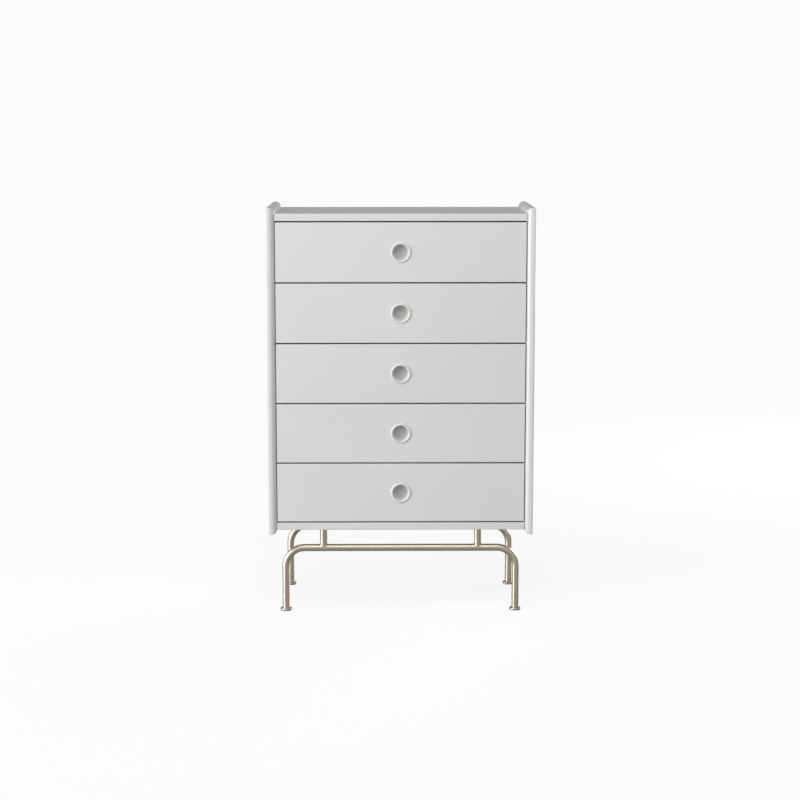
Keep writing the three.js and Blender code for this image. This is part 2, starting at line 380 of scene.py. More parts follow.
def makeBirchEdge(name, axis, start):
    # the layers seen on a cut edge; axis is the board's thickness and start is one of its faces
    look = birchLook
    material, tree, shader, place = startMaterial(name)
    split = addNode(tree, "ShaderNodeSeparateXYZ")
    tree.links.new(place.outputs["Object"], split.inputs[0])
    depth = mathNode(tree, "ABSOLUTE", split.outputs[axis])
    depth = mathNode(tree, "SUBTRACT", depth, start)
    layer = mathNode(tree, "DIVIDE", depth, look["plyThickness"])
    odd = mathNode(tree, "PINGPONG", layer, 1.0)
    bands = rangeNode(tree, odd, 0.35, 0.65, 0.0, 1.0)
    within = mathNode(tree, "ABSOLUTE", mathNode(tree, "SUBTRACT", odd, 0.5))
    line = rangeNode(tree, within, 0.05, 0.12, 1.0, 0.0)
    figure = placeGroup(tree, woodFigure, {"Vector": place.outputs["Object"]}, Streak_Scale=120.0,
                        Pore_Scale=700.0)
    tone = mixColour(tree, bands, look["pale"], look["crossPly"])
    streaks = mathNode(tree, "MULTIPLY", figure.outputs["Streaks"], 0.35)
    tone = mixColour(tree, streaks, tone, look["dark"])
    tone = mixColour(tree, mathNode(tree, "MULTIPLY", line, 0.7), tone, look["glueLine"])
    tree.links.new(tone, shader.inputs["Base Color"])
    shader.inputs["Roughness"].default_value = look["edgeGloss"]
    addBump(tree, shader, bands, 0.4, look["plyDepth"])
    return material


boardLook = {
    "tone": (0.80, 0.79, 0.765, 1.0),
    "cloudTone": (0.77, 0.76, 0.73, 1.0),
    "fibreTone": (0.66, 0.63, 0.58, 1.0),
    "gloss": 0.5,
    "markedGloss": 0.62,
    "fibreDepth": 0.00006,
}


def makeHardboard():
    look = boardLook
    material, tree, shader, place = startMaterial("whiteHardboard")
    vector = place.outputs["Object"]
    skin = placeGroup(tree, sprayedSkin, {"Vector": vector}, Peel_Scale=700.0, Cloud_Scale=5.0)
    fibre = noiseNode(tree, scaledVector(tree, vector, (1.0, 1.0, 0.25)), 340.0, 3.0, 0.7)
    tone = mixColour(tree, skin.outputs["Cloud"], look["tone"], look["cloudTone"])
    tone = mixColour(tree, rangeNode(tree, fibre, 0.55, 0.8, 0.0, 0.5), tone, look["fibreTone"])
    tree.links.new(tone, shader.inputs["Base Color"])
    gloss = rangeNode(tree, skin.outputs["Marks"], 0.0, 1.0, look["gloss"], look["markedGloss"])
    tree.links.new(gloss, shader.inputs["Roughness"])
    addBump(tree, shader, fibre, 0.4, look["fibreDepth"])
    return material


plasticLook = {
    "tone": (0.66, 0.66, 0.65, 1.0),
    "markedTone": (0.58, 0.575, 0.56, 1.0),
    "gloss": 0.36,
    "dullGloss": 0.46,
    "grainDepth": 0.00003,
}


def makePlastic():
    look = plasticLook
    material, tree, shader, place = startMaterial("paleGreyPlastic")
    skin = placeGroup(tree, sprayedSkin, {"Vector": place.outputs["Object"]}, Peel_Scale=900.0)
    tree.links.new(mixColour(tree, skin.outputs["Marks"], look["tone"], look["markedTone"]),
                   shader.inputs["Base Color"])
    gloss = rangeNode(tree, skin.outputs["Cloud"], 0.0, 1.0, look["gloss"], look["dullGloss"])
    tree.links.new(gloss, shader.inputs["Roughness"])
    addBump(tree, shader, skin.outputs["Height"], 0.5, look["grainDepth"])
    return material


sideStart = abs(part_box("drawer_1_left_side")[1].x)
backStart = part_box("drawer_1_back")[0].y
whiteLacquer = makeLacquer()
satinNickel = makeMetal("satinNickel", nickelLook)
zincSteel = makeMetal("zincSteel", zincLook)
screwSteel = makeMetal("screwSteel", screwLook)
blackRubber = makeRubber()
birchAlongY = makeBirchFace("birchAlongY", (1.0, 0.07, 1.0))
birchAlongX = makeBirchFace("birchAlongX", (0.07, 1.0, 1.0))
birchEdgeSide = makeBirchEdge("birchEdgeSide", "X", sideStart)
birchEdgeBack = makeBirchEdge("birchEdgeBack", "Y", backStart)
whiteHardboard = makeHardboard()
greyPlastic = makePlastic()
print("materials made:", len(bpy.data.materials))


# Mesh helpers

def boxMesh(low, high):
    mesh = bmesh.new()
    size = high - low
    place = Matrix.Translation((low + high) / 2) @ Matrix.Diagonal((size.x, size.y, size.z, 1.0))
    bmesh.ops.create_cube(mesh, size=1.0, matrix=place)
    return mesh


def edgesOn(mesh, axis, value):
    found = []
    for edge in mesh.edges:
        if all(abs(vert.co[axis] - value) < 1e-6 for vert in edge.verts):
            found.append(edge)
    return found


def edgesAlong(mesh, axis):
    found = []
    for edge in mesh.edges:
        way = edge.verts[1].co - edge.verts[0].co
        if abs(way[axis]) > 0.999 * way.length:
            found.append(edge)
    return found


def roundEdges(mesh, edges, width, segments):
    # rounds the edges over and marks the new faces, so that the finish knows where the edges are
    mark = mesh.faces.layers.float.get("roundOver") or mesh.faces.layers.float.new("roundOver")
    made = bmesh.ops.bevel(mesh, geom=edges, offset=width, offset_type="OFFSET", segments=segments,
                           profile=0.5, affect="EDGES", clamp_overlap=True, material=-1)
    for face in made["faces"]:
        face[mark] = 1.0


def spunMesh(profile, steps, place):
    # turns a half profile of (radius, height) round the local Z axis, then moves it into place
    mesh = bmesh.new()
    verts = [mesh.verts.new((radius, 0.0, height)) for radius, height in profile]
    edges = [mesh.edges.new(pair) for pair in zip(verts, verts[1:])]
    bmesh.ops.spin(mesh, geom=verts + edges, cent=(0, 0, 0), axis=(0, 0, 1), dvec=(0, 0, 0),
                   angle=2 * math.pi, steps=steps, use_merge=True, use_duplicate=False)
    bmesh.ops.remove_doubles(mesh, verts=mesh.verts, dist=1e-7)
    bmesh.ops.recalc_face_normals(mesh, faces=mesh.faces)
    bmesh.ops.transform(mesh, matrix=place, verts=mesh.verts)
    return mesh


def arcPoints(centre, radius, fromTurn, toTurn, steps):
    # points of an arc in the profile plane; turns are in degrees from the outward radius
    points = []
    for step in range(steps + 1):
        turn = math.radians(fromTurn + (toTurn - fromTurn) * step / steps)
        points.append((centre[0] + radius * math.cos(turn), centre[1] + radius * math.sin(turn)))
    return points


def joinMeshes(parts):
    whole = parts[0]
    for part in parts[1:]:
        carrier = bpy.data.meshes.new("carrier")
        part.to_mesh(carrier)
        part.free()
        whole.from_mesh(carrier)
        bpy.data.meshes.remove(carrier)
    return whole


def finishPiece(name, mesh, materials, body, replaced=None, smoothAngle=32):
    data = bpy.data.meshes.new(name)
    mesh.to_mesh(data)
    mesh.free()
    for material in materials:
        data.materials.append(material)
    data.shade_smooth()
    data.set_sharp_from_angle(angle=math.radians(smoothAngle))
    piece = bpy.data.objects.new(name, data)
    scene.collection.objects.link(piece)
    flat = piece.modifiers.new("evenShading", "WEIGHTED_NORMAL")
    flat.keep_sharp = True
    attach(piece, body)
    if replaced:
        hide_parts(replaced)
    return piece


# Screws

screwValues = {"headRadius": 0.0038, "headHeight": 0.0017, "socketRadius": 0.0018, "socketLip": 0.0002,
               "sides": 20}


def screwMesh(place):
    # a domed head with a round socket; place puts local +Z along the way that the head looks
    radius = screwValues["headRadius"]
    height = screwValues["headHeight"]
    socket = screwValues["socketRadius"]
    profile = [(0.0, 0.0), (radius, 0.0)]
    profile += arcPoints((radius - height, 0.0), height, 0, 80, 5)[1:]
    profile += [(socket * 1.1, height), (socket, height - screwValues["socketLip"])]
    profile += [(socket * 0.95, height * 0.3), (0.0, height * 0.25)]
    return spunMesh(profile, screwValues["sides"], place)


def facing(direction, point):
    turn = Vector((0, 0, 1)).rotation_difference(Vector(direction)).to_matrix().to_4x4()
    return Matrix.Translation(point) @ turn


# Case

caseValues = {
    "innerRound": 0.016,
    "innerSegments": 12,
    "outerRound": 0.003,
    "outerSegments": 4,
    "boardRound": 0.002,
    "boardSegments": 3,
}


def makeSidePanel(name, side):
    low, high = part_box(name)
    inner = high.x if side < 0 else low.x
    outer = low.x if side < 0 else high.x
    mesh = boxMesh(low, high)
    roundEdges(mesh, edgesOn(mesh, 0, inner), caseValues["innerRound"], caseValues["innerSegments"])
    roundEdges(mesh, edgesOn(mesh, 0, outer), caseValues["outerRound"], caseValues["outerSegments"])
    finishPiece(name + "_board", mesh, [whiteLacquer], carcass, name)


def makeShelf(name):
    low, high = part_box(name)
    mesh = boxMesh(low, high)
    roundEdges(mesh, edgesAlong(mesh, 0), caseValues["boardRound"], caseValues["boardSegments"])
    finishPiece(name + "_board", mesh, [whiteLacquer], carcass, name)


for sideName, side in sides.items():
    makeSidePanel(sideName + "_side_panel", side)
makeShelf("top_panel")
makeShelf("bottom_panel")
print("case boards made")

backValues = {"edgeRound": 0.0006, "segments": 2}


def makeBackPanel():
    low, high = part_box("back_panel")
    mesh = boxMesh(low, high)
    roundEdges(mesh, edgesOn(mesh, 1, high.y), backValues["edgeRound"], backValues["segments"])
    finishPiece("back_panel_board", mesh, [whiteHardboard], carcass, "back_panel")


makeBackPanel()


# Leg frames

legValues = {
    "tubeRadius": 0.011,
    "tubeSides": 40,
    "bendRadius": 0.058,
    "bendSteps": 14,
    "barZ": 0.195,
    "postX": 0.235,
    "beadRadius": 0.0013,
    "beadSides": 10,
    "beadSteps": 72,
    "plateThickness": 0.004,
    "plateHalfWidth": 0.035,
    "plateDepth": 0.045,
    "plateRound": 0.006,
    "screwsAcross": (-0.026, 0.026),
    "screwsBack": (0.009, 0.035),
}


def ringEdges(result):
    return [item for item in result if isinstance(item, bmesh.types.BMEdge)]


def ringVerts(result):
    return [item for item in result if isinstance(item, bmesh.types.BMVert)]


def runOn(mesh, ring, shift):
    # carries an open ring of edges straight on
    made = bmesh.ops.extrude_edge_only(mesh, edges=ring)["geom"]
    bmesh.ops.translate(mesh, vec=shift, verts=ringVerts(made))
    return farRing(made)


def farRing(made):
    # the edges at the far end of an extrusion: all their ends are new
    verts = set(ringVerts(made))
    return [edge for edge in ringEdges(made) if all(vert in verts for vert in edge.verts)]


def bend(mesh, ring, centre, angle):
    made = bmesh.ops.spin(mesh, geom=ring + list({v for e in ring for v in e.verts}), cent=centre,
                          axis=(0, 1, 0), dvec=(0, 0, 0), angle=angle, steps=legValues["bendSteps"],
                          use_merge=False, use_duplicate=False)["geom_last"]
    return ringEdges(made)


def archMesh(y, legX, legFoot):
    # one bent tube: up a leg, along the bar and down the other leg
    radius = legValues["tubeRadius"]
    turn = legValues["bendRadius"]
    barZ = legValues["barZ"]
    mesh = bmesh.new()
    place = Matrix.Translation((-legX, y, legFoot))
    verts = bmesh.ops.create_circle(mesh, cap_ends=False, segments=legValues["tubeSides"],
                                    radius=radius, matrix=place)["verts"]
    ring = list({edge for vert in verts for edge in vert.link_edges})
    ring = runOn(mesh, ring, (0, 0, barZ - turn - legFoot))
    ring = bend(mesh, ring, (-legX + turn, y, barZ - turn), math.pi / 2)
    ring = runOn(mesh, ring, (2 * (legX - turn), 0, 0))
    ring = bend(mesh, ring, (legX - turn, y, barZ - turn), math.pi / 2)
    runOn(mesh, ring, (0, 0, -(barZ - turn - legFoot)))
    openEdges = [edge for edge in mesh.edges if edge.is_boundary]
    bmesh.ops.holes_fill(mesh, edges=openEdges, sides=0)
    bmesh.ops.recalc_face_normals(mesh, faces=mesh.faces)
    return mesh


def postMesh(x, y, top):
    radius = legValues["tubeRadius"]
    bottom = legValues["barZ"]
    mesh = bmesh.new()
    bmesh.ops.create_cone(mesh, cap_ends=True, cap_tris=False, segments=legValues["tubeSides"],
                          radius1=radius, radius2=radius, depth=top - bottom,
                          matrix=Matrix.Translation((x, y, (bottom + top) / 2)))
    return mesh


def weldBead(x, y):
    # follows the saddle where a post meets the bar
    radius = legValues["tubeRadius"]
    bead = legValues["beadRadius"]
    mesh = bmesh.new()
    place = Matrix.Translation((radius, 0, 0)) @ Matrix.Rotation(math.pi / 2, 4, "X")
    verts = bmesh.ops.create_circle(mesh, cap_ends=False, segments=legValues["beadSides"], radius=bead,
                                    matrix=place)["verts"]
    edges = list({edge for vert in verts for edge in vert.link_edges})
    bmesh.ops.spin(mesh, geom=verts + edges, cent=(0, 0, 0), axis=(0, 0, 1), dvec=(0, 0, 0),
                   angle=2 * math.pi, steps=legValues["beadSteps"], use_merge=True, use_duplicate=False)
    bmesh.ops.recalc_face_normals(mesh, faces=mesh.faces)
    for vert in mesh.verts:
        across = vert.co.x / math.hypot(vert.co.x, vert.co.y)
        vert.co.z += radius * math.sqrt(across * across + 0.004)
    bmesh.ops.translate(mesh, vec=(x, y, legValues["barZ"]), verts=mesh.verts)
    return mesh


def plateMesh(x, y, inward, top):
    radius = legValues["tubeRadius"]
    outerY = y - inward * radius
    innerY = outerY + inward * legValues["plateDepth"]
    half = legValues["plateHalfWidth"]
    low = Vector((x - half, min(outerY, innerY), top - legValues["plateThickness"]))
    high = Vector((x + half, max(outerY, innerY), top))
    mesh = boxMesh(low, high)
    roundEdges(mesh, edgesAlong(mesh, 2), legValues["plateRound"], 6)
    return mesh


def makeLegFrame(row):
    node = row + "_leg_frame"
    low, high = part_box(node)
    footLow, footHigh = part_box(row + "_left_foot")
    legX = -(footLow.x + footHigh.x) / 2
    y = (footLow.y + footHigh.y) / 2
    inward = 1 if row == "front" else -1
    radius = legValues["tubeRadius"]
    underside = high.z - legValues["plateThickness"]
    parts = [archMesh(y, legX, low.z)]
    screws = []
    for side in sides.values():
        x = side * legValues["postX"]
        parts.append(postMesh(x, y, underside))
        parts.append(weldBead(x, y))
        parts.append(plateMesh(x, y, inward, high.z))
        for across in legValues["screwsAcross"]:
            for back in legValues["screwsBack"]:
                point = (x + across, y + inward * (back - radius), underside)
                screws.append(screwMesh(facing((0, 0, -1), point)))
    finishPiece(node + "_steel", joinMeshes(parts), [satinNickel], carcass, node)
    finishPiece(node + "_screws", joinMeshes(screws), [screwSteel], carcass)


for row in rows:
    makeLegFrame(row)
print("leg frames made")

footValues = {
    "padHeight": 0.002,
    "padInset": 0.0012,
    "padChamfer": 0.0005,
    "discTop": 0.0076,
    "discChamfer": 0.0008,
    "crown": 0.0006,
    "shoulder": 0.0022,
    "collar": 0.001,
    "sides": 48,
}


def makeFoot(name):
    low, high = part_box(name)
    centre = (low + high) / 2
    radius = (high.x - low.x) / 2
    place = Matrix.Translation((centre.x, centre.y, 0.0))
    pad = footValues["padHeight"]
    top = footValues["discTop"]
    shoulder = footValues["shoulder"]
    chamfer = footValues["discChamfer"]
    profile = [(0.0, pad), (radius - chamfer, pad), (radius, pad + chamfer)]
    profile += arcPoints((radius - shoulder, top - shoulder - footValues["crown"]), shoulder, 0, 70, 6)
    profile += [(legValues["tubeRadius"] + footValues["collar"], top), (0.0, top)]
    finishPiece(name + "_disc", spunMesh(profile, footValues["sides"], place), [satinNickel], carcass,
                name)
    padRadius = radius - footValues["padInset"]
    chamfer = footValues["padChamfer"]
    padProfile = [(0.0, 0.0), (padRadius - chamfer, 0.0), (padRadius, chamfer), (padRadius, pad),
                  (0.0, pad)]
    finishPiece(name + "_pad", spunMesh(padProfile, footValues["sides"], place), [blackRubber], carcass)


for row in rows:
    for sideName in sides:
        makeFoot(row + "_" + sideName + "_foot")
print("feet made")


# Drawers

frontValues = {
    "frontRound": 0.0022,
    "frontSegments": 4,
    "rearRound": 0.001,
    "rearSegments": 2,
    "pocketRadius": 0.0278,
    "pocketDepth": 0.0183,
    "pocketSides": 72,
}


def makeFront(number, body):
    name = f"drawer_{number}_front"
    low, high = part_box(name)
    mesh = boxMesh(low, high)
    roundEdges(mesh, edgesOn(mesh, 1, low.y), frontValues["frontRound"], frontValues["frontSegments"])
    roundEdges(mesh, edgesOn(mesh, 1, high.y), frontValues["rearRound"], frontValues["rearSegments"])
    outside = [face for face in mesh.faces if abs(face.calc_center_median().y - low.y) < 1e-6]
    face = max(outside, key=lambda candidate: candidate.calc_area())
    border = list(face.edges)
    bmesh.ops.delete(mesh, geom=[face], context="FACES_ONLY")
    centre = Vector(((low.x + high.x) / 2, low.y, (low.z + high.z) / 2))
    place = Matrix.Translation(centre) @ Matrix.Rotation(math.pi / 2, 4, "X")
    verts = bmesh.ops.create_circle(mesh, cap_ends=False, segments=frontValues["pocketSides"],
                                    radius=frontValues["pocketRadius"], matrix=place)["verts"]
    ring = list({edge for vert in verts for edge in vert.link_edges})
    bmesh.ops.triangle_fill(mesh, use_beauty=True, use_dissolve=False, edges=border + ring)
    ring = runOn(mesh, ring, (0, frontValues["pocketDepth"], 0))
    bmesh.ops.contextual_create(mesh, geom=ring)
    bmesh.ops.recalc_face_normals(mesh, faces=mesh.faces)
    finishPiece(name + "_board", mesh, [whiteLacquer], body, name)


pullValues = {
    "rimRadius": 0.030,
    "rimHeight": 0.003,
    "rimRound": 0.0027,
    "rimGap": 0.0001,
    "crestRadius": 0.0265,
    "lipRound": 0.002,
    "floorRadius": 0.0195,
    "floorRound": 0.004,
    "floorDish": 0.0002,
    "dishDepth": 0.0155,
    "cupRadius": 0.0275,
    "cupDepth": 0.018,
    "shadeDepth": 0.003,
    "sides": 96,
}


def makePull(number, body):
    name = f"drawer_{number}_pull"
    low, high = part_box(name)
    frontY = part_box(f"drawer_{number}_front")[0].y
    values = pullValues
    rim = values["rimHeight"]
    profile = [(0.0, -values["cupDepth"]), (values["cupRadius"], -values["cupDepth"]),
               (values["cupRadius"], values["rimGap"]), (values["rimRadius"], values["rimGap"])]
    rimRound = values["rimRound"]
    profile += arcPoints((values["rimRadius"] - rimRound, rim - rimRound), rimRound, 0, 90, 8)
    lip = values["lipRound"]
    bottom = values["floorRound"]
    depth = values["dishDepth"]
    lipCentre = (values["crestRadius"], rim - lip)
    floorCentre = (values["floorRadius"] - bottom, bottom - depth)
    # the wall is the straight line that touches both the lip's arc and the floor's
    inward = lipCentre[0] - floorCentre[0]
    down = lipCentre[1] - floorCentre[1]
    slope = math.degrees(math.atan2(down, inward) + math.asin((lip + bottom) / math.hypot(inward, down)))
    profile += arcPoints(lipCentre, lip, 90, 90 + slope, 8)
    profile += arcPoints(floorCentre, bottom, slope - 90, -90, 8)
    profile.append((0.0, -depth - values["floorDish"]))
    centre = ((low.x + high.x) / 2, frontY, (low.z + high.z) / 2)
    mesh = spunMesh(profile, values["sides"], facing((0, -1, 0), centre))
    shade = mesh.verts.layers.float.new("paintedRecessShade")  # painted shade: the cup's hollow gets a greyer colour than the rim, standing in for shade deeper than the lamps give
    for vert in mesh.verts:
        fromAxis = math.hypot(vert.co.x - centre[0], vert.co.z - centre[2])
        behind = vert.co.y - frontY + rim
        if fromAxis < values["crestRadius"]:
            vert[shade] = min(1.0, max(0.0, (behind - lip / 2) / values["shadeDepth"]))
    finishPiece(name + "_cup", mesh, [whiteLacquer], body, name, 40)


boxValues = {"edgeRound": 0.0008, "bottomRound": 0.0005, "segments": 2, "grooveDepth": 0.006,
             "grooveGap": 0.0003}


def paintEdges(mesh, axis, edgeIndex):
    # faces across the board's thickness show its layers
    for face in mesh.faces:
        if abs(face.normal[axis]) < 0.7:
            face.material_index = edgeIndex


def makeDrawerSide(number, sideName, side, body):
    # the cross-section has the groove for the drawer bottom, and is drawn out along Y
    name = f"drawer_{number}_{sideName}_side"
    low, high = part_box(name)
    bottomLow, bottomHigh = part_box(f"drawer_{number}_bottom")
    outer = low.x if side < 0 else high.x
    inner = high.x if side < 0 else low.x
    deep = inner + side * boxValues["grooveDepth"]
    gap = boxValues["grooveGap"]
    outline = [(outer, low.z), (inner, low.z), (inner, bottomLow.z - gap), (deep, bottomLow.z - gap),
               (deep, bottomHigh.z + gap), (inner, bottomHigh.z + gap), (inner, high.z), (outer, high.z)]
    mesh = bmesh.new()
    face = mesh.faces.new([mesh.verts.new((x, low.y, z)) for x, z in outline])
    made = bmesh.ops.extrude_face_region(mesh, geom=[face])["geom"]
    bmesh.ops.translate(mesh, vec=(0, high.y - low.y, 0), verts=ringVerts(made))
    bmesh.ops.recalc_face_normals(mesh, faces=mesh.faces)
    corners = edgesOn(mesh, 2, high.z) + edgesOn(mesh, 2, low.z)
    roundEdges(mesh, corners, boxValues["edgeRound"], boxValues["segments"])
    paintEdges(mesh, 0, 1)
    finishPiece(name + "_board", mesh, [birchAlongY, birchEdgeSide], body, name)


def makeDrawerBack(number, body):
    name = f"drawer_{number}_back"
    low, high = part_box(name)
    mesh = boxMesh(low, high)
    roundEdges(mesh, edgesOn(mesh, 2, high.z), boxValues["edgeRound"], boxValues["segments"])
    paintEdges(mesh, 1, 1)
    finishPiece(name + "_board", mesh, [birchAlongX, birchEdgeBack], body, name)


def makeDrawerBottom(number, body):
    name = f"drawer_{number}_bottom"
    low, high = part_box(name)
    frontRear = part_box(f"drawer_{number}_front")[1].y
    mesh = boxMesh(Vector((low.x, frontRear, low.z)), high)
    roundEdges(mesh, edgesOn(mesh, 1, high.y), boxValues["bottomRound"], boxValues["segments"])
    finishPiece(name + "_panel", mesh, [whiteHardboard], body, name)


for number in drawerNumbers:
    body = f"drawer_{number}"
    makeFront(number, body)
    makePull(number, body)
    for sideName, side in sides.items():
        makeDrawerSide(number, sideName, side, body)
    makeDrawerBack(number, body)
    makeDrawerBottom(number, body)
print("drawers made:", len(drawerNumbers))


# Slides

slideValues = {
    "sheet": 0.0012,
    "frontGap": 0.002,
    "rearGap": 0.012,
    "balls": 10,
    "ballRadius": 0.0028,
    "ballPitch": 0.012,
    "ballOut": 0.0062,
    "ballUp": 0.0175,
    "ballStart": 0.03,
    "cageWidth": 0.0032,
    "cageThickness": 0.0008,
    "cageLead": 0.008,
    "screwSpots": (0.05, 0.5, 0.92),
    "screwStart": 0.01,
    "screwMargin": 0.04,
    "caseScrewOut": 0.0019,
    "drawerScrewOut": 0.0112,
}
# points of each rolled steel section: distance out from the case side, height from the middle
caseSection = [(0.0093, 0.0182), (0.0094, 0.0200), (0.0086, 0.0213), (0.0074, 0.0217), (0.0030, 0.0217),
               (0.0015, 0.0210), (0.0008, 0.0195), (0.0007, 0.0150), (0.0007, 0.0060), (0.0013, 0.0048)]
drawerSection = [(0.0030, 0.0158), (0.0029, 0.0146), (0.0036, 0.0137), (0.0050, 0.0134), (0.0104, 0.0134),
                 (0.0117, 0.0129), (0.0123, 0.0117), (0.0124, 0.0060), (0.0118, 0.0048)]


def rolledMesh(section, wallX, side, middle, startY, endY):
    # the half section is mirrored about its middle, drawn out along Y and given its sheet thickness
    mesh = bmesh.new()
    whole = section + [(out, -up) for out, up in reversed(section)]
    verts = [mesh.verts.new((wallX - side * out, startY, middle + up)) for out, up in whole]
    edges = [mesh.edges.new(pair) for pair in zip(verts, verts[1:])]
    made = bmesh.ops.extrude_edge_only(mesh, edges=edges)["geom"]
    bmesh.ops.translate(mesh, vec=(0, endY - startY, 0), verts=ringVerts(made))
    bmesh.ops.recalc_face_normals(mesh, faces=mesh.faces)
    bmesh.ops.solidify(mesh, geom=mesh.faces, thickness=slideValues["sheet"] / 2)
    bmesh.ops.recalc_face_normals(mesh, faces=mesh.faces)
    return mesh


def ballRows(wallX, side, middle, startY):
    # a row of balls above and below, each held in a flat cage
    values = slideValues
    parts = []
    x = wallX - side * values["ballOut"]
    cage = Vector((values["cageWidth"], values["balls"] * values["ballPitch"], values["cageThickness"]))
    for up in (-1, 1):
        z = middle + up * values["ballUp"]
        for step in range(values["balls"]):
            ball = bmesh.new()
            place = Matrix.Translation((x, startY + step * values["ballPitch"], z))
            bmesh.ops.create_uvsphere(ball, u_segments=14, v_segments=8, radius=values["ballRadius"],
                                      matrix=place)
            parts.append(ball)
        low = Vector((x - cage.x / 2, startY - values["cageLead"], z - cage.z / 2))
        parts.append(boxMesh(low, low + cage))
    return joinMeshes(parts)


def makeSlide(number, sideName, side, body):
    name = f"drawer_{number}_{sideName}_runner"
    low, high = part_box(name)
    wallX = low.x if side < 0 else high.x
    middle = (low.z + high.z) / 2
    values = slideValues
    rail = rolledMesh(caseSection, wallX, side, middle, low.y, high.y)
    finishPiece(name + "_rail", rail, [zincSteel], carcass, name)
    balls = ballRows(wallX, side, middle, low.y + values["ballStart"])
    finishPiece(name + "_balls", balls, [screwSteel], carcass)
    rail = rolledMesh(drawerSection, wallX, side, middle, low.y + values["frontGap"],
                      high.y - values["rearGap"])
    finishPiece(f"drawer_{number}_{sideName}_slide_rail", rail, [zincSteel], body)
    caseScrews = []
    drawerScrews = []
    for spot in values["screwSpots"]:
        y = low.y + values["screwStart"] + spot * (high.y - low.y - values["screwMargin"])
        casePoint = (wallX - side * values["caseScrewOut"], y, middle)
        drawerPoint = (wallX - side * values["drawerScrewOut"], y + values["rearGap"], middle)
        caseScrews.append(screwMesh(facing((-side, 0, 0), casePoint)))
        drawerScrews.append(screwMesh(facing((side, 0, 0), drawerPoint)))
    finishPiece(name + "_screws", joinMeshes(caseScrews), [screwSteel], carcass)
    finishPiece(f"drawer_{number}_{sideName}_slide_screws", joinMeshes(drawerScrews), [screwSteel], body)


for number in drawerNumbers:
    for sideName, side in sides.items():
        makeSlide(number, sideName, side, f"drawer_{number}")
print("slides made")


# Small fittings

fittingValues = {
    "capRadius": 0.0085,
    "capHeight": 0.0012,
    "capSides": 32,
    "capInset": 0.034,
    "capRises": (0.045, 0.115),
    "clipLength": 0.024,
    "clipReach": 0.009,
    "clipRound": 0.0015,
    "clipInset": 0.0004,
    "clipScrewScale": 0.7,
    "clipsUp": (0.12, 0.5, 0.88),
    "clipsAcross": (0.2, 0.5, 0.8),
}


def makeCamCaps(number, body):
    # covers over the fittings that pull the drawer sides up to the front
    radius = fittingValues["capRadius"]
    height = fittingValues["capHeight"]
    rounding = height * 0.8
    profile = [(0.0, 0.0), (radius, 0.0)]
    profile += arcPoints((radius - rounding, height - rounding), rounding, 0, 90, 4)
    profile += [(radius * 0.35, height), (radius * 0.3, height * 0.55), (0.0, height * 0.5)]
    parts = []
    for sideName, side in sides.items():
        low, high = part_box(f"drawer_{number}_{sideName}_side")
        inner = high.x if side < 0 else low.x
        for rise in fittingValues["capRises"]:
            point = (inner, low.y + fittingValues["capInset"], low.z + rise)
            parts.append(spunMesh(profile, fittingValues["capSides"], facing((-side, 0, 0), point)))
    finishPiece(f"drawer_{number}_cam_caps", joinMeshes(parts), [greyPlastic], body)


def makeBackClips():
    # small blocks that hold the back panel in from behind, each with a screw into the case
    low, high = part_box("back_panel")
    reach = fittingValues["clipReach"]
    half = fittingValues["clipLength"] / 2
    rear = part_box("left_side_panel")[1].y - fittingValues["clipInset"]
    clips = []
    screws = []
    spots = []
    for spot in fittingValues["clipsUp"]:
        z = low.z + spot * (high.z - low.z)
        spots += [((low.x, z), (1, 0)), ((high.x, z), (-1, 0))]
    for spot in fittingValues["clipsAcross"]:
        x = low.x + spot * (high.x - low.x)
        spots += [((x, low.z), (0, 1)), ((x, high.z), (0, -1))]
    for (x, z), (towardX, towardZ) in spots:
        ends = [(x - half * abs(towardZ), z - half * abs(towardX)),
                (x + half * abs(towardZ) + towardX * reach, z + half * abs(towardX) + towardZ * reach)]
        lowX, highX = sorted((ends[0][0], ends[1][0]))
        lowZ, highZ = sorted((ends[0][1], ends[1][1]))
        clip = boxMesh(Vector((lowX, high.y, lowZ)), Vector((highX, rear, highZ)))
        roundEdges(clip, edgesOn(clip, 1, rear), fittingValues["clipRound"], 3)
        clips.append(clip)
        point = (x + towardX * reach, (high.y + rear) / 2, z + towardZ * reach)
        scale = Matrix.Scale(fittingValues["clipScrewScale"], 4)
        screws.append(screwMesh(facing((towardX, 0, towardZ), point) @ scale))
    finishPiece("back_panel_clips", joinMeshes(clips), [greyPlastic], carcass)
    finishPiece("back_panel_clip_screws", joinMeshes(screws), [screwSteel], carcass)


for number in drawerNumbers:
    makeCamCaps(number, f"drawer_{number}")
makeBackClips()
print("fittings made")


# Stage

stageValues = {
    "floorSize": 40.0,
    "floorTone": (0.19, 0.188, 0.185, 1.0),
    "floorGlow": 0.83,
    "floorBounce": 0.1,
    "floorGloss": 0.25,
    "floorSheen": 0.7,
    "fadeStart": 1.8,
    "fadeEnd": 4.5,
    "backdropTone": (1.0, 0.998, 0.993, 1.0),
    "backdrop": 0.965,
}


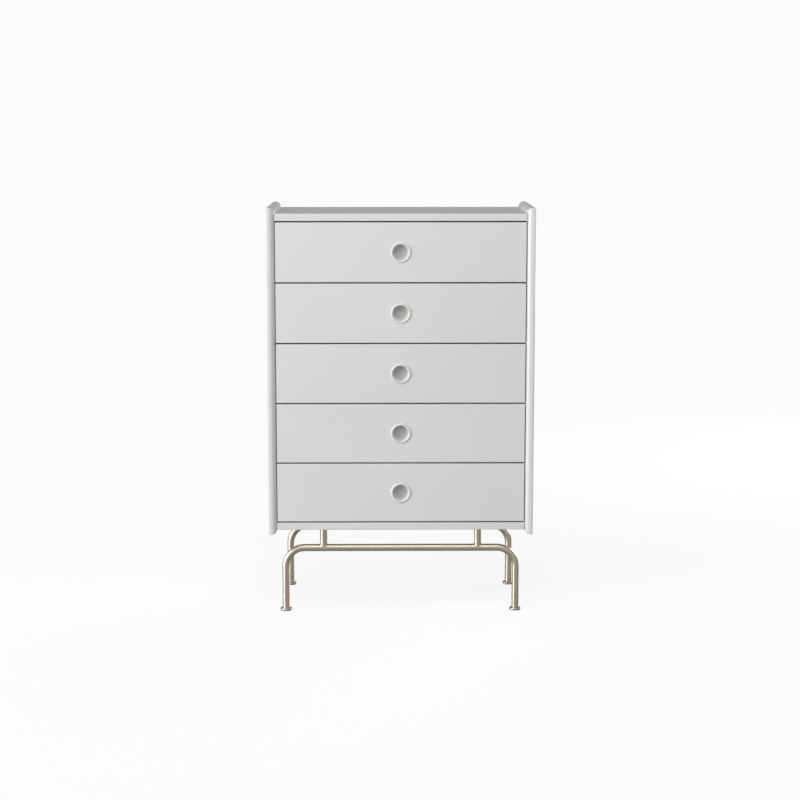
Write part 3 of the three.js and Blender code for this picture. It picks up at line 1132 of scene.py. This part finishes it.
def makeFloor():
    # pale close to the piece, fading into the backdrop further out
    mesh = bmesh.new()
    bmesh.ops.create_grid(mesh, x_segments=1, y_segments=1, size=stageValues["floorSize"])
    data = bpy.data.meshes.new("floor")
    mesh.to_mesh(data)
    mesh.free()
    floor = bpy.data.objects.new("floor", data)
    scene.collection.objects.link(floor)
    material, tree, shader, place = startMaterial("paleFloor")
    away = addNode(tree, "ShaderNodeVectorMath", operation="LENGTH")
    tree.links.new(place.outputs["Object"], away.inputs[0])
    fade = rangeNode(tree, away.outputs["Value"], stageValues["fadeStart"], stageValues["fadeEnd"],
                     0.0, 1.0)
    tree.links.new(mixColour(tree, fade, stageValues["floorTone"], (0.0, 0.0, 0.0, 1.0)),
                   shader.inputs["Base Color"])
    shader.inputs["Roughness"].default_value = stageValues["floorGloss"]
    shader.inputs["Emission Color"].default_value = stageValues["backdropTone"]
    seen = addNode(tree, "ShaderNodeLightPath").outputs["Is Camera Ray"]
    sheen = rangeNode(tree, seen, 0.0, 1.0, stageValues["floorSheen"], 0.0)
    tree.links.new(sheen, shader.inputs["Specular IOR Level"])
    glow = rangeNode(tree, fade, 0.0, 1.0, stageValues["floorGlow"], stageValues["backdrop"])
    tree.links.new(rangeNode(tree, seen, 0.0, 1.0, stageValues["floorBounce"], glow),
                   shader.inputs["Emission Strength"])
    data.materials.append(material)


# the surroundings as the piece sees them; each lobe is a broad soft patch of light
lobes = {
    "window": {
        "way": (-0.88, -0.47, 0.05),
        "spread": (0.6, 0.97),
        "strength": 1.2,
        "tone": (0.96, 0.98, 1.0, 1.0),
    },
    "ceiling": {
        "way": (0.0, -0.5, 0.87),
        "spread": (0.85, 1.0),
        "strength": 0.72,
        "tone": (1.0, 1.0, 1.0, 1.0),
    },
    "room": {
        "way": (0.10, -1.0, 0.0),
        "spread": (0.0, 1.0),
        "strength": 0.58,
        "tone": (1.0, 0.985, 0.96, 1.0),
    },
    "right": {
        "way": (0.95, 0.3, 0.1),
        "spread": (0.3, 1.0),
        "strength": 0.25,
        "tone": (1.0, 0.99, 0.97, 1.0),
    },
}
surroundings = {"base": 0.13, "tone": (1.0, 0.98, 0.95, 1.0)}


def makeWorld():
    world = bpy.data.worlds.new("studio")
    scene.world = world
    world.use_nodes = True
    tree = world.node_tree
    place = addNode(tree, "ShaderNodeTexCoord")
    tone = surroundings["tone"]
    total = tuple(channel * surroundings["base"] for channel in tone[:3]) + (1.0,)
    for values in lobes.values():
        towards = addNode(tree, "ShaderNodeVectorMath", operation="DOT_PRODUCT")
        towards.inputs[1].default_value = Vector(values["way"]).normalized()
        tree.links.new(place.outputs["Generated"], towards.inputs[0])
        low, high = values["spread"]
        amount = rangeNode(tree, towards.outputs["Value"], low, high, 0.0, 1.0)
        amount = mathNode(tree, "MULTIPLY", mathNode(tree, "POWER", amount, 1.5), values["strength"])
        lobe = addNode(tree, "ShaderNodeVectorMath", operation="SCALE")
        lobe.inputs[0].default_value = values["tone"][:3]
        tree.links.new(amount, lobe.inputs["Scale"])
        added = addNode(tree, "ShaderNodeVectorMath", operation="ADD")
        tree.links.new(lobe.outputs[0], added.inputs[0])
        if isinstance(total, tuple):
            added.inputs[1].default_value = total[:3]
        else:
            tree.links.new(total, added.inputs[1])
        total = added.outputs[0]
    path = addNode(tree, "ShaderNodeLightPath")
    backdrop = stageValues["backdrop"]
    seen = tuple(channel * backdrop for channel in stageValues["backdropTone"][:3]) + (1.0,)
    tree.links.new(mixColour(tree, path.outputs["Is Camera Ray"], total, seen),
                   tree.nodes["Background"].inputs["Color"])


lamps = {
    "window": {
        "place": (-4.8, -2.35, 1.25),
        "aim": (0, 0, 0.95),
        "size": (2.2, 2.2),
        "power": 156,
        "tone": (0.96, 0.98, 1.0),
    },
    "ceiling": {
        "place": (-0.3, -1.9, 3.2),
        "aim": (0, 0, 0.6),
        "size": (2.4, 0.9),
        "power": 21,
        "tone": (1.0, 1.0, 1.0),
    },
    "rearLeft": {
        "place": (-3.2, 3.4, 1.5),
        "aim": (0, 0, 0.7),
        "size": (2.0, 2.0),
        "power": 20,
        "tone": (1.0, 0.99, 0.98),
    },
    "rearRight": {
        "place": (3.2, 3.2, 1.5),
        "aim": (0, 0, 0.7),
        "size": (2.0, 2.0),
        "power": 90,
        "tone": (1.0, 0.99, 0.97),
    },
}


def makeLamps():
    for name, values in lamps.items():
        light = bpy.data.lights.new(name, "AREA")
        light.shape = "RECTANGLE"
        light.size, light.size_y = values["size"]
        light.energy = values["power"]
        light.color = values["tone"]
        lamp = bpy.data.objects.new(name, light)
        scene.collection.objects.link(lamp)
        lamp.location = values["place"]
        way = Vector(values["aim"]) - Vector(values["place"])
        lamp.rotation_euler = way.to_track_quat("-Z", "Y").to_euler()


cameraValues = {"place": (-0.0569, -5.854, 1.521), "down": 8.694, "right": 0.55, "lens": 85.83,
                "sensorWidth": 36.0}


def makeCamera():
    data = bpy.data.cameras.new("camera")
    data.lens = cameraValues["lens"]
    data.sensor_width = cameraValues["sensorWidth"]
    camera = bpy.data.objects.new("camera", data)
    scene.collection.objects.link(camera)
    camera.location = cameraValues["place"]
    down = math.radians(90 - cameraValues["down"])
    camera.rotation_euler = (down, 0, -math.radians(cameraValues["right"]))
    scene.camera = camera


makeFloor()
makeWorld()
makeLamps()
makeCamera()
scene.view_settings.view_transform = "Standard"
print("stage made")
